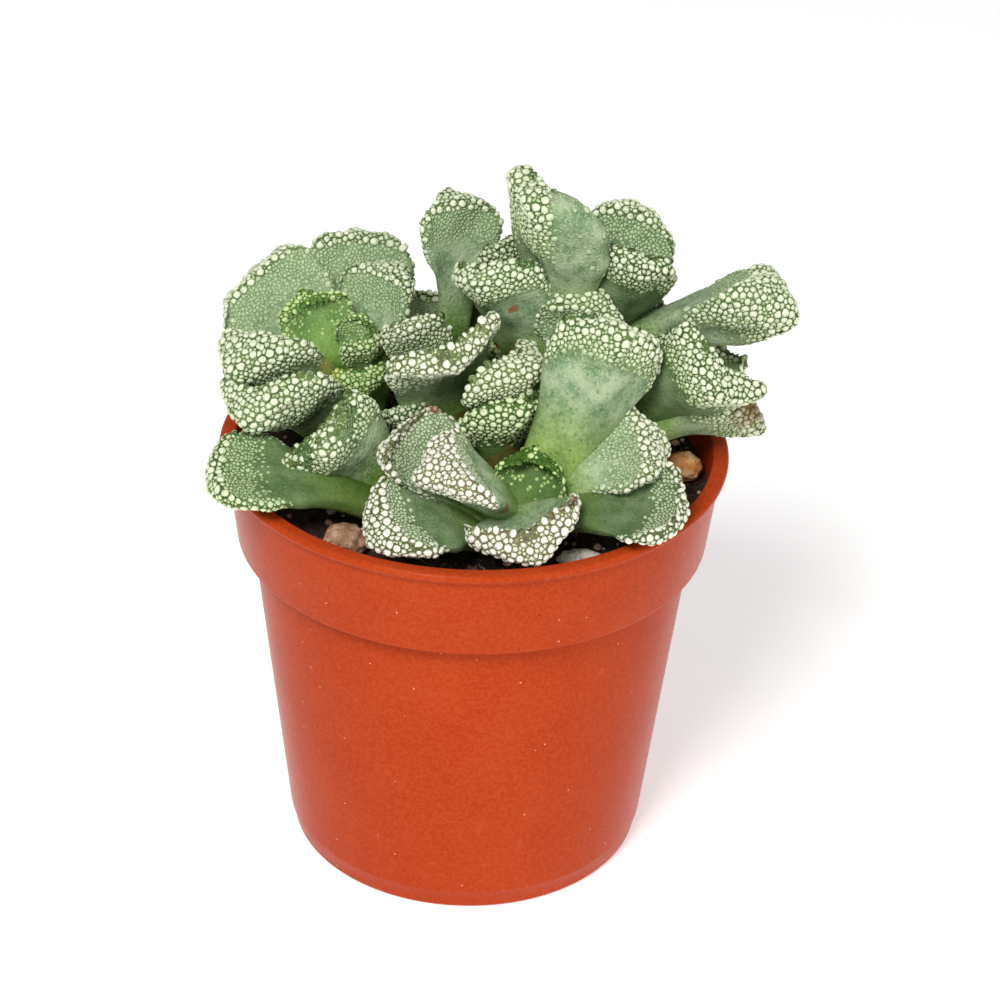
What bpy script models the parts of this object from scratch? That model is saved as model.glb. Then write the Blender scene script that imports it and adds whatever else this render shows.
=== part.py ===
"""Potted titanopsis: a clump of thick leaves with warty tips, on short stems in a plastic pot.

The tables are in millimetres and the model is in metres, +Z up. The origin is the centre of the
pot's base, and the front of the pot looks along -Y. The plant has eight leaf heads. Each head is
one body of leaves joined to a short stem, which stands in a plain hole in the soil.
"""
import math

import bmesh
import bpy
import numpy as np
from mathutils import Vector, noise

MM = 0.001

# Pot: a 65 mm nursery pot with a deep collar and a rounded lip
POT_HEIGHT = 57.0
LIP_RADIUS = 32.5
LIP_DEPTH = 1.3
COLLAR_TOP_RADIUS = 31.6
COLLAR_FOOT_RADIUS = 30.3
COLLAR_FOOT_HEIGHT = 44.3
BODY_TOP_RADIUS = 28.4
BASE_RADIUS = 23.0
BASE_EDGE = 0.8
LEDGE_HEIGHT = 2.6
LEDGE_STEP = 0.25
WALL = 1.2
INNER_STEP = (44.8, 45.8)
FLOOR = 1.6
POT_SIDES = 48
DRAIN_HOLE_COUNT = 5
DRAIN_HOLE_RADIUS = 2.2
DRAIN_CIRCLE_RADIUS = 13.5

# Soil: fills the pot to just under the collar's top
SOIL_TOP = 52.2
SOIL_BUMP = 0.35
SOIL_GRAIN = 6.5
SOIL_SIDES = 36
SOIL_SLACK = 0.25
SOIL_RING_SHARES = (0.94, 0.72, 0.48, 0.24)
STEM_HOLE_FLOOR = 48.0
GAP = 0.3

# Leaf form, as shares of a leaf's half width
LEAF_SIDES = 12
LEAF_SHARES = (0.0, 0.32, 0.56, 0.79, 1.0)
DOME_SHARES = (0.7, 0.95)
DOME_POWER = 3.0
NECK = 0.54
FLARE = 0.22
KEEL_DEPTH = (0.52, 0.90)
UPPER_DEPTH = (0.24, 0.20)
BLUNT = 0.16
HOLLOW = 0.50
CURL = 0.30
END_ARC = 0.10
END_CORNER = 0.24
END_BULGE = 0.24
END_CHIN = 0.30
WART_START = 0.6
WART_HEIGHT = 0.5

STEM_SIDES = 10
STEM_TAPER = 0.9

# Each head: its stem's (x, y, radius, top), then its leaves as (root, tip, upper face looks
# towards, width, form), in millimetres. Form holds what differs from the usual leaf.
HEADS = {
    "head_left": ((-15.5, 4.5, 4.5, 62.0), (
        ((-15.5, 6.0, 60.0), (-28.2, 10.0, 74.8), (0.2, -0.9, 0.3), 15.0,
         {"arc": 0.05, "hollow": 0.3, "curl": 0.5, "lean": 0.05, "bulge": 0.1, "corner": 0.2}),
        ((-15.0, 6.0, 60.0), (-15.5, 15.5, 78.2), (0.15, -0.8, 0.6), 14.0,
         {"arc": 0.15, "hollow": 0.3}),
        ((-17.5, 6.0, 61.0), (-20.8, 5.0, 72.8), (0.25, -0.9, 0.35), 9.5,
         {"arc": -0.1, "hollow": 0.6, "bulge": 0.1, "corner": 0.1}),
        ((-13.5, 5.0, 62.0), (-12.9, 9.5, 76.1), (-0.6, -0.75, 0.3), 11.0,
         {"keel": 1.1, "hollow": 0.3, "arc": 0.0, "lean": -0.1}),
        ((-15.3, 5.0, 62.0), (-15.2, 3.5, 71.5), (-0.4, -0.9, 0.2), 5.5, {}),
        ((-13.5, 4.5, 61.0), (-14.5, 2.5, 70.5), (-0.5, 0.85, 0.2), 6.0, {}),
        ((-14.0, 2.5, 57.0), (-14.6, 0.0, 67.6), (-0.2, 0.95, 0.2), 8.0, {"neck": 0.7}),
        ((-17.0, 5.0, 60.0), (-28.3, -2.5, 73.3), (0.2, 0.6, 0.75), 13.0,
         {"hollow": 0.15, "keel": 1.1, "corner": 0.35}),
        ((-17.0, 2.0, 57.0), (-26.8, -7.2, 70.4), (0.1, 0.65, 0.75), 15.0, {"keel": 1.1}),
        ((-17.0, 7.0, 58.0), (-27.0, 18.0, 64.0), (0.2, -0.3, 0.9), 12.0, {}),
        ((-14.0, 7.0, 58.0), (-18.5, 23.0, 65.0), (0.0, -0.3, 0.9), 12.0, {}),
    )),
    "head_near": ((-11.0, -11.0, 3.2, 57.5), (
        ((-10.5, -9.6, 56.0), (-19.6, -12.1, 65.6), (-0.5, 0.85, 0.2), 13.5,
         {"hollow": 0.9, "arc": -0.1, "corner": 0.1, "neck": 0.7, "keel": 0.9}),
        ((-11.0, -14.4, 55.3), (-31.5, -16.8, 62.6), (0.15, -0.15, 0.95), 13.5,
         {"neck": 0.38, "keel": 0.6, "hollow": 0.25}),
    )),
    "head_front": ((7.0, -15.5, 4.2, 58.0), (
        ((1.0, -18.0, 55.4), (-10.0, -26.4, 61.6), (0.65, 0.1, 0.75), 12.5,
         {"keel": 0.9, "hollow": 0.25, "neck": 0.75}),
        ((3.3, -17.3, 56.0), (-8.5, -15.4, 66.6), (0.45, -0.5, 0.7), 11.8,
         {"hollow": 0.6, "corner": 0.1, "arc": 0.0}),
        ((5.5, -16.5, 55.0), (-2.2, -21.5, 67.8), (0.85, 0.2, 0.45), 12.5, {"hollow": 0.2}),
        ((7.3, -16.5, 55.0), (6.6, -18.0, 63.6), (-0.2, -0.95, 0.3), 9.0,
         {"neck": 0.9, "hollow": 0.9, "bulge": 0.1}),
        ((6.5, -16.0, 55.0), (5.8, -26.4, 62.2), (-0.3, 0.35, 0.85), 14.0,
         {"keel": 0.95, "hollow": 0.6, "blunt": 0.35}),
        ((9.0, -17.0, 56.5), (24.5, -22.3, 62.4), (-0.1, -0.3, 0.95), 12.5, {"keel": 0.6}),
        ((8.5, -14.0, 57.5), (20.6, -13.6, 67.1), (-0.3, -0.4, 0.85), 13.5, {"hollow": 0.25}),
        ((9.0, -14.6, 57.0), (17.0, -8.0, 79.0), (-0.2, 0.95, -0.2), 14.0,
         {"neck": 0.7, "flare": 0.35}),
    )),
    "head_small": ((3.0, -7.6, 3.2, 63.0), (
        ((2.4, -5.8, 60.5), (2.8, -5.6, 73.3), (-0.75, 0.5, 0.4), 12.5, {"keel": 1.1}),
        ((3.2, -7.6, 58.0), (3.9, -9.1, 68.9), (-0.4, 0.7, 0.6), 12.0,
         {"hollow": 0.6, "keel": 0.75}),
    )),
    "head_middle": ((-3.0, -0.5, 3.2, 63.0), (
        ((-1.5, -1.5, 58.0), (-4.4, -8.0, 77.0), (-0.5, 0.8, 0.32), 15.0,
         {"curl": 1.2, "keel": 0.6, "neck": 0.8, "hollow": 0.6, "arc": 0.0, "corner": 0.15}),
        ((-4.0, 0.5, 61.0), (-8.5, 0.5, 74.3), (-0.1, 0.95, 0.35), 8.5, {"keel": 0.8}),
        ((-1.8, 0.2, 61.0), (0.6, 1.0, 69.5), (-0.2, -0.9, 0.4), 7.0, {}),
        ((-5.0, -2.0, 56.0), (-9.0, -3.0, 64.5), (-0.2, 0.9, 0.2), 8.5, {}),
    )),
    "head_tall": ((12.0, 5.0, 4.2, 67.0), (
        ((14.0, 5.5, 65.5), (36.3, 4.0, 80.3), (0.0, 0.25, 0.95), 13.5,
         {"curl": 0.2, "keel": 1.25, "hollow": 0.1, "bulge": 0.45, "arc": 0.3}),
        ((14.0, 8.0, 63.0), (23.5, 10.0, 71.5), (-0.1, -0.3, 0.9), 8.0, {}),
        ((10.0, 6.0, 66.0), (9.6, 4.0, 92.3), (0.55, 0.8, 0.15), 14.0,
         {"arc": 0.15, "lean": 0.35, "corner": 0.3, "neck": 0.65, "blunt": 0.25}),
        ((14.0, 7.0, 66.0), (19.8, 12.0, 84.0), (0.1, -0.9, 0.4), 12.0,
         {"arc": 0.2, "hollow": 0.3}),
        ((14.5, 6.5, 66.0), (20.0, 5.0, 82.5), (0.1, 0.9, 0.4), 11.5, {}),
        ((9.0, 6.5, 66.0), (2.5, 8.5, 81.5), (-0.4, 0.5, 0.7), 7.0, {}),
        ((9.0, 4.4, 63.0), (1.2, 2.7, 82.0), (0.2, 0.8, 0.55), 12.0,
         {"curl": 0.6, "neck": 0.85}),
        ((12.5, 3.0, 65.0), (12.9, 0.0, 76.7), (-0.2, -0.95, 0.1), 11.0,
         {"arc": 0.15, "hollow": 0.25}),
        ((11.5, 8.0, 64.0), (10.0, 25.0, 70.0), (0.0, -0.4, 0.9), 12.0, {}),
    )),
    "head_side": ((18.0, -1.5, 3.2, 62.0), (
        ((18.0, 0.0, 61.0), (30.8, -7.5, 74.5), (0.35, 0.85, 0.4), 14.0,
         {"arc": -0.15, "corner": 0.05, "hollow": 0.6, "keel": 1.1, "blunt": 0.25}),
        ((18.5, -3.0, 60.0), (34.3, -1.0, 65.6), (-0.1, 0.3, 0.95), 11.5, {}),
        ((19.0, 0.0, 59.0), (32.0, 11.0, 66.0), (-0.2, -0.2, 0.95), 11.0, {}),
    )),
    "head_back": ((-4.0, 8.0, 3.0, 64.0), (
        ((-4.0, 8.0, 62.0), (-2.2, 10.0, 85.5), (0.4, -0.85, 0.15), 10.5,
         {"neck": 0.42, "arc": 0.1, "hollow": 0.35, "flare": 0.5}),
        ((-4.5, 9.0, 60.0), (-4.5, 24.0, 66.2), (0.0, -0.4, 0.9), 12.0, {}),
        ((-3.5, 8.5, 60.0), (2.0, 12.5, 75.0), (0.0, -0.7, 0.5), 10.0, {}),
    )),
}

# Stones that lie on the soil: (x, y), half sizes, turn in degrees, colour
STONES = {
    "stone_brown": ((-15.4, -19.6), (2.9, 2.4, 1.9), 25.0, (0.35, 0.22, 0.14)),
    "stone_ochre": ((26.9, 0.4), (2.6, 2.3, 1.9), 70.0, (0.50, 0.33, 0.15)),
    "stone_grey": ((13.3, -21.8), (3.1, 1.8, 1.1), 10.0, (0.52, 0.50, 0.46)),
}

POT_COLOUR = (0.55, 0.065, 0.02)
SOIL_COLOUR = (0.035, 0.022, 0.015)
LEAF_COLOUR = (0.22, 0.34, 0.20)


def smooth(low, high, value):
    """Rises gently from 0 at low to 1 at high."""
    share = min(max((value - low) / (high - low), 0.0), 1.0)
    return share * share * (3.0 - 2.0 * share)


def make_material(name, colour, roughness):
    material = bpy.data.materials.new(name)
    material.use_nodes = True
    shader = material.node_tree.nodes["Principled BSDF"]
    shader.inputs["Base Color"].default_value = (*colour, 1.0)
    shader.inputs["Roughness"].default_value = roughness
    shader.inputs["Metallic"].default_value = 0.0
    material.diffuse_color = (*colour, 1.0)
    return material


def add_object(name, bm, material, place=(0.0, 0.0, 0.0)):
    """Makes an object of the mesh, which is in millimetres round its place."""
    bmesh.ops.scale(bm, vec=(MM, MM, MM), verts=bm.verts)
    bmesh.ops.recalc_face_normals(bm, faces=bm.faces)
    mesh = bpy.data.meshes.new(name)
    bm.to_mesh(mesh)
    bm.free()
    mesh.materials.append(material)
    obj = bpy.data.objects.new(name, mesh)
    obj.location = Vector(place) * MM
    bpy.context.scene.collection.objects.link(obj)
    return obj


def turned(profile, sides):
    """Spins a profile of (radius, height) points, whose ends are on the axis, into a solid."""
    bm = bmesh.new()
    points = [bm.verts.new((radius, 0.0, height)) for radius, height in profile]
    edges = [bm.edges.new(pair) for pair in zip(points, points[1:])]
    bmesh.ops.spin(bm, geom=points + edges, cent=(0, 0, 0), axis=(0, 0, 1),
                   angle=math.tau, steps=sides, use_merge=True)
    bmesh.ops.remove_doubles(bm, verts=bm.verts, dist=0.001)
    return bm


def apply_boolean(obj, operation, others):
    """Joins or cuts the object with the others, applies the result and removes them."""
    group = bpy.data.collections.new(obj.name + "_operands")
    bpy.context.scene.collection.children.link(group)
    for other in others:
        group.objects.link(other)
    modifier = obj.modifiers.new("Boolean", "BOOLEAN")
    modifier.operation = operation
    modifier.operand_type = "COLLECTION"
    modifier.collection = group
    modifier.solver = "EXACT"
    result = bpy.data.meshes.new_from_object(
        obj.evaluated_get(bpy.context.evaluated_depsgraph_get()))
    obj.modifiers.remove(modifier)
    obj.data = result
    for other in others:
        bpy.data.objects.remove(other)
    bpy.data.collections.remove(group)


def keep_outer_shell(mesh):
    """Fills sealed hollows and drops loose scraps: only the shell with the most points stays."""
    bm = bmesh.new()
    bm.from_mesh(mesh)
    unseen = set(bm.verts)
    shells = []
    while unseen:
        shell = {unseen.pop()}
        border = list(shell)
        while border:
            vert = border.pop()
            found = {edge.other_vert(vert) for edge in vert.link_edges} & unseen
            unseen -= found
            shell |= found
            border += found
        shells.append(shell)
    outer = max(shells, key=len)
    bmesh.ops.delete(bm, geom=[vert for vert in bm.verts if vert not in outer], context="VERTS")
    bm.to_mesh(mesh)
    bm.free()


def pot_wall_radius(height):
    """The pot's outer radius at a height, without its lip and its rounded edge."""
    if height >= COLLAR_FOOT_HEIGHT:
        share = (height - COLLAR_FOOT_HEIGHT) / (POT_HEIGHT - LIP_DEPTH - COLLAR_FOOT_HEIGHT)
        return COLLAR_FOOT_RADIUS + (COLLAR_TOP_RADIUS - COLLAR_FOOT_RADIUS) * min(share, 1.0)
    share = height / COLLAR_FOOT_HEIGHT
    return BASE_RADIUS + (BODY_TOP_RADIUS - BASE_RADIUS) * share


def make_pot():
    inner_lip = COLLAR_TOP_RADIUS - WALL
    profile = (
        (0.0, 0.0),
        (BASE_RADIUS - BASE_EDGE, 0.0),
        (BASE_RADIUS, BASE_EDGE),
        (pot_wall_radius(LEDGE_HEIGHT), LEDGE_HEIGHT),
        (pot_wall_radius(LEDGE_HEIGHT) + LEDGE_STEP, LEDGE_HEIGHT + LEDGE_STEP),
        (BODY_TOP_RADIUS, COLLAR_FOOT_HEIGHT),
        (COLLAR_FOOT_RADIUS - 0.3, COLLAR_FOOT_HEIGHT),
        (COLLAR_FOOT_RADIUS, COLLAR_FOOT_HEIGHT + 0.3),
        (COLLAR_TOP_RADIUS, POT_HEIGHT - LIP_DEPTH),
        (LIP_RADIUS, POT_HEIGHT - 0.8),
        (LIP_RADIUS, POT_HEIGHT - 0.35),
        (LIP_RADIUS - 0.5, POT_HEIGHT),
        (inner_lip + 0.4, POT_HEIGHT),
        (inner_lip, POT_HEIGHT - 0.4),
        (COLLAR_FOOT_RADIUS - WALL, INNER_STEP[1]),
        (BODY_TOP_RADIUS - WALL, INNER_STEP[0]),
        (BASE_RADIUS - WALL, FLOOR),
        (0.0, FLOOR),
    )
    pot = add_object("pot", turned(profile, POT_SIDES), make_material("plastic", POT_COLOUR, 0.4))
    cutters = []
    for number in range(DRAIN_HOLE_COUNT):
        angle = math.tau * (number + 0.5) / DRAIN_HOLE_COUNT
        bm = bmesh.new()
        bmesh.ops.create_cone(bm, cap_ends=True, segments=12, radius1=DRAIN_HOLE_RADIUS,
                              radius2=DRAIN_HOLE_RADIUS, depth=4 * FLOOR)
        place = (DRAIN_CIRCLE_RADIUS * math.cos(angle), DRAIN_CIRCLE_RADIUS * math.sin(angle), 0.0)
        cutters.append(add_object(f"drain_cutter_{number}", bm, pot.data.materials[0], place))
    apply_boolean(pot, "DIFFERENCE", cutters)


def soil_height(x, y):
    """The soil's surface is nearly level, with low rounded bumps."""
    return SOIL_TOP + SOIL_BUMP * noise.noise(Vector((x, y, 0.0)) / SOIL_GRAIN)


def make_soil():
    clear = WALL + GAP + SOIL_SLACK
    bottom = FLOOR + GAP
    top_radius = pot_wall_radius(SOIL_TOP) - clear
    profile = [
        (0.0, bottom),
        (pot_wall_radius(bottom) - clear, bottom),
        (BODY_TOP_RADIUS - clear, INNER_STEP[0]),
        (COLLAR_FOOT_RADIUS - clear, INNER_STEP[1] + GAP),
        (top_radius, SOIL_TOP),
    ]
    profile += [(share * top_radius, SOIL_TOP) for share in SOIL_RING_SHARES]
    profile.append((0.0, SOIL_TOP))
    bm = turned(profile, SOIL_SIDES)
    for vert in bm.verts:
        if abs(vert.co.z - SOIL_TOP) < 0.001:
            vert.co.z = soil_height(vert.co.x, vert.co.y)
    bmesh.ops.triangulate(bm, faces=bm.faces)
    soil = add_object("soil", bm, make_material("soil", SOIL_COLOUR, 0.95))
    cutters = []
    for name, ((x, y, radius, top), leaves) in HEADS.items():
        bm = bmesh.new()
        depth = 2 * (SOIL_TOP - STEM_HOLE_FLOOR)
        bmesh.ops.create_cone(bm, cap_ends=True, segments=STEM_SIDES, radius1=radius + GAP,
                              radius2=radius + GAP, depth=depth)
        place = (x, y, STEM_HOLE_FLOOR + depth / 2)
        cutters.append(add_object(name + "_cutter", bm, soil.data.materials[0], place))
    apply_boolean(soil, "DIFFERENCE", cutters)


def leaf_rings(leaf):
    """Gives a leaf's cross-sections from root to end, each a ring of LEAF_SIDES points.

    A section has a hollow upper face, blunt margins and a keel below. The leaf's middle line is an
    arc that bows towards the upper face. It widens to a broad end, cut off as a low dome.
    """
    root, tip, facing, width, form = leaf
    root, tip = np.array(root), np.array(tip)
    half = width / 2.0
    neck = form.get("neck", NECK)
    keel = form.get("keel", 1.0)
    arc = form.get("arc", END_ARC)
    corner = form.get("corner", END_CORNER)
    curl = form.get("curl", CURL)
    blunt = half * form.get("blunt", BLUNT)
    along = (tip - root) / np.linalg.norm(tip - root)
    up = np.array(facing) - along * np.dot(facing, along)
    up /= np.linalg.norm(up)
    side = np.cross(along, up)
    bulge = half * form.get("bulge", END_BULGE)
    bow = (np.linalg.norm(tip - root) - bulge) / (2.0 * math.sin(curl / 2))
    angle = np.arange(LEAF_SIDES) * math.tau / LEAF_SIDES
    across, height = np.cos(angle), np.sin(angle)
    edge = np.sqrt(np.abs(height))
    rings = []
    steps = [(share, 0.0) for share in LEAF_SHARES] + [(1.0, dome) for dome in DOME_SHARES]
    for share, dome in steps:
        wide = half * (neck + (1.0 - neck) * smooth(form.get("flare", FLARE), 0.90, share))
        below = half * keel * (KEEL_DEPTH[0] + (KEEL_DEPTH[1] - KEEL_DEPTH[0])
                               * smooth(0.45, 0.95, share))
        above = half * (UPPER_DEPTH[0] + (UPPER_DEPTH[1] - UPPER_DEPTH[0])
                        * smooth(0.3, 0.8, share))
        hollow = half * form.get("hollow", HOLLOW) * smooth(0.35, 0.95, share)
        roundness = 2.0 - 0.85 * smooth(0.4, 0.9, share)
        x = wide * across
        upper = above * edge - hollow * (1.0 - across ** 2)
        lower = -blunt * edge - (below - blunt) * (1.0 - np.abs(across) ** roundness)
        z = np.where(height >= 0, upper, lower)
        shrink = (1.0 - dome ** DOME_POWER) ** (1.0 / DOME_POWER)
        middle = -0.3 * below
        x, z = x * shrink, middle + (z - middle) * shrink
        reach = np.abs(x / half)
        forward = bulge * dome + smooth(0.45, 1.0, share) * (
            form.get("lean", 0.0) * x - END_CHIN * (z - 0.2 * above)
            - half * (arc * reach ** 2.6 + corner * reach ** 9))
        turn_angle = curl * (share - 0.5)
        ahead = math.cos(turn_angle) * along - math.sin(turn_angle) * up
        upward = math.cos(turn_angle) * up + math.sin(turn_angle) * along
        middle_line = root + bow * ((math.sin(curl / 2) + math.sin(turn_angle)) * along
                                    + (math.cos(turn_angle) - math.cos(curl / 2)) * up)
        rings.append(middle_line + np.outer(x, side) + np.outer(z, upward)
                     + np.outer(forward, ahead))
    return rings


def make_leaf(name, leaf, foot, material):
    """Extrudes the leaf ring by ring from its root, then raises a wart on each face near its end."""
    rings = [[Vector(point) for point in ring - np.array(foot)] for ring in leaf_rings(leaf)]
    bm = bmesh.new()
    number = bm.verts.layers.int.new("number")
    start = bmesh.ops.create_circle(bm, cap_ends=True, segments=LEAF_SIDES, radius=1.0)
    for index, vert in enumerate(start["verts"]):
        vert[number] = index
        vert.co = rings[0][index]
    end = bm.faces[:][0]
    warty = []
    for ring, share in zip(rings[1:], LEAF_SHARES[1:] + (1.0,) * len(DOME_SHARES)):
        made = bmesh.ops.extrude_face_region(bm, geom=[end])["geom"]
        if len(bm.faces) > LEAF_SIDES + 2:
            bm.faces.remove(end)
        end = next(item for item in made if isinstance(item, bmesh.types.BMFace))
        for vert in end.verts:
            vert.co = ring[vert[number]]
        if share > WART_START:
            rim = {face for vert in end.verts for face in vert.link_faces} - {end}
            warty += [face for face in rim if face not in warty]
    bmesh.ops.recalc_face_normals(bm, faces=bm.faces)
    bmesh.ops.poke(bm, faces=warty + [end], offset=WART_HEIGHT)
    return add_object(name, bm, material, foot)


def make_stem(name, stem, foot, material):
    x, y, radius, top = stem
    bm = bmesh.new()
    depth = top - foot[2]
    bmesh.ops.create_cone(bm, cap_ends=True, segments=STEM_SIDES, radius1=radius,
                          radius2=radius * STEM_TAPER, depth=depth)
    bmesh.ops.translate(bm, vec=(0.0, 0.0, depth / 2), verts=bm.verts)
    return add_object(name, bm, material, foot)


def make_head(name, stem, leaves, material):
    foot = (stem[0], stem[1], STEM_HOLE_FLOOR + GAP)
    head = make_stem(name, stem, foot, material)
    blades = [make_leaf(f"{name}_leaf_{index}", leaf, foot, material)
              for index, leaf in enumerate(leaves)]
    apply_boolean(head, "UNION", blades)
    keep_outer_shell(head.data)


def make_stone(name, place, sizes, turn, colour):
    """A worn pebble: a rough ball squeezed to its half sizes, flat where it lies."""
    x, y = place
    bm = bmesh.new()
    bmesh.ops.create_icosphere(bm, subdivisions=2, radius=1.0)
    for vert in bm.verts:
        rough = 1.0 + 0.22 * noise.noise(vert.co * 1.3 + Vector((x, y, 0.0)))
        vert.co *= rough
        vert.co.z = max(vert.co.z, -0.6)
    bmesh.ops.scale(bm, vec=sizes, verts=bm.verts)
    reach = max(sizes)
    steps = np.linspace(-reach, reach, 9)
    bed = max(soil_height(x + dx, y + dy) for dx in steps for dy in steps)
    lowest = min(vert.co.z for vert in bm.verts)
    stone = add_object(name, bm, make_material(name, colour, 0.85), (x, y, bed + GAP - lowest))
    stone.rotation_euler.z = math.radians(turn)


def main():
    for obj in list(bpy.data.objects):
        bpy.data.objects.remove(obj)
    make_pot()
    make_soil()
    for name, (place, sizes, turn, colour) in STONES.items():
        make_stone(name, place, sizes, turn, colour)
    leaf_material = make_material("leaf", LEAF_COLOUR, 0.6)
    for name, (stem, leaves) in HEADS.items():
        make_head(name, stem, leaves, leaf_material)


main()
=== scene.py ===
"""Potted titanopsis: the finish of a clump of warty stone-plant leaves in a small plastic pot.

Sizes and tables are in millimetres, and MM turns them into the frame's metres. The origin is the
centre of the pot's base, +Z is up, and the front of the pot looks along -Y.
"""
import math

import bpy
import numpy as np
from mathutils import Matrix, Vector, noise


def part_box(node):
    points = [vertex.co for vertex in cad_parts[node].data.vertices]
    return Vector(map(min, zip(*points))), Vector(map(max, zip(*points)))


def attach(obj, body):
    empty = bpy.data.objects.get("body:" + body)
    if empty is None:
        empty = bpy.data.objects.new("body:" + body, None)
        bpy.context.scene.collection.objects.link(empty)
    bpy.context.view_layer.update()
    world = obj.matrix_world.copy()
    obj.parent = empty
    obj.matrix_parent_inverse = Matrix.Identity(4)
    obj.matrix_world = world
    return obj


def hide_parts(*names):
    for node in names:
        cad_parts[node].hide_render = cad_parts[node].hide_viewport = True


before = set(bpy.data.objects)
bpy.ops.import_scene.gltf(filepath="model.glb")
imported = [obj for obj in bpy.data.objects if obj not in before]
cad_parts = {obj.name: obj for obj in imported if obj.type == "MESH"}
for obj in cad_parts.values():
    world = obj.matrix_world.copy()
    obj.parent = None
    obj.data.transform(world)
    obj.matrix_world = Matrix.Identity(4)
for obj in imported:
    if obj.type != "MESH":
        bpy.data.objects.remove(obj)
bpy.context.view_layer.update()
bpy.ops.object.select_all(action="DESELECT")

MM = 0.001

# Pot: a 65 mm nursery pot, injection moulded in one piece from terracotta-coloured plastic, with
# a deep collar, a thin rounded lip, a foot ledge and drainage holes in its flat base. Handling
# and repotting have left fine dust, specks and faint scuffs on its skin.
POT_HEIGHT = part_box("pot")[1].z / MM
LIP_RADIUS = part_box("pot")[1].x / MM
COLLAR_TOP_RADIUS = 31.6
COLLAR_FOOT_RADIUS = 30.3
COLLAR_FOOT_HEIGHT = 44.3
BODY_TOP_RADIUS = 28.4
BASE_RADIUS = 23.0
WALL = 1.2
INNER_STEP = (44.8, 45.8)
POT_FLOOR = 1.6
POT_SIDES = 160
POT_SMOOTH_ANGLE = math.radians(32)
DRAIN_HOLES = 5
DRAIN_HOLE_SIDES = 32
DRAIN_HOLE_RADIUS = 2.2
DRAIN_CIRCLE_RADIUS = 13.5


def paint(red, green, blue):
    """Turns a colour as seen on a screen, 0 to 255, into the linear colour that a shader takes."""
    shares = [value / 255.0 for value in (red, green, blue)]
    linear = [v / 12.92 if v <= 0.04045 else ((v + 0.055) / 1.055) ** 2.4 for v in shares]
    return (*linear, 1.0)


class Wire:
    """The output of a shader node. Arithmetic on it adds Math nodes."""

    def __init__(self, finish, socket):
        self.finish = finish
        self.socket = socket

    def __add__(self, other):
        return self.finish.maths("ADD", self, other)

    def __radd__(self, other):
        return self.finish.maths("ADD", other, self)

    def __sub__(self, other):
        return self.finish.maths("SUBTRACT", self, other)

    def __mul__(self, other):
        return self.finish.maths("MULTIPLY", self, other)

    def __pow__(self, other):
        return self.finish.maths("POWER", self, other)

    def rise(self, low, high):
        """Goes smoothly from 0 at low to 1 at high, or back down where high is the lower."""
        return self.finish.node("MapRange", {"interpolation_type": "SMOOTHSTEP"},
                                {"Value": self, "From Min": low, "From Max": high})


class Finish:
    """A material written as expressions on wires, which ends in one Principled shader."""

    def __init__(self, name):
        self.material = bpy.data.materials.new(name)
        self.material.use_nodes = True
        self.tree = self.material.node_tree
        self.tree.nodes.clear()
        self.place = self.node("TexCoord", output="Object")

    def node(self, kind, settings=None, inputs=None, output=0):
        made = self.tree.nodes.new("ShaderNode" + kind)
        for name, value in (settings or {}).items():
            setattr(made, name, value)
        for name, value in (inputs or {}).items():
            if isinstance(value, Wire):
                self.tree.links.new(value.socket, made.inputs[name])
            else:
                made.inputs[name].default_value = value
        return Wire(self, made.outputs[output]) if made.outputs else None

    def maths(self, operation, first, second):
        return self.node("Math", {"operation": operation}, {0: first, 1: second})

    def mix(self, share, first, second):
        return self.node("Mix", {"data_type": "RGBA"}, {0: share, 6: first, 7: second}, 2)

    def cloud(self, size, detail=3.0):
        """Soft noise whose patches are about size millimetres across."""
        return self.node("TexNoise", None, {"Vector": self.place, "Scale": 1.0 / (size * MM),
                                            "Detail": detail})

    def cells(self, size, output="Distance"):
        """Distance to the nearest of scattered points, size millimetres apart, as a share of it."""
        return self.node("TexVoronoi", None,
                         {"Vector": self.place, "Scale": 1.0 / (size * MM)}, output)

    def chance(self, size):
        """A random number for each cell of cells(size)."""
        colour = self.cells(size, "Color")
        return self.node("SeparateColor", None, {0: colour})

    def trait(self, name):
        """A number that the mesh carries at each of its points."""
        return self.node("Attribute", {"attribute_name": name}, output="Fac")

    def close(self, colour, roughness, relief=None, depth=0.1, **constants):
        """Ends the material. Relief is a height from 0 to 1, and depth its size in millimetres."""
        inputs = {"Base Color": colour, "Roughness": roughness}
        inputs.update({name.replace("_", " "): value for name, value in constants.items()})
        if relief is not None:
            inputs["Normal"] = self.node("Bump", None, {"Height": relief, "Distance": depth * MM})
        shader = self.node("BsdfPrincipled", None, inputs)
        self.node("OutputMaterial", None, {"Surface": shader})
        return self.material


def bend(centre, radius, start, stop, steps=5):
    """Points along an arc of a profile, from one angle to another in degrees."""
    turns = np.radians(np.linspace(start, stop, steps))
    return [(centre[0] + radius * math.cos(a), centre[1] + radius * math.sin(a)) for a in turns]


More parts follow.
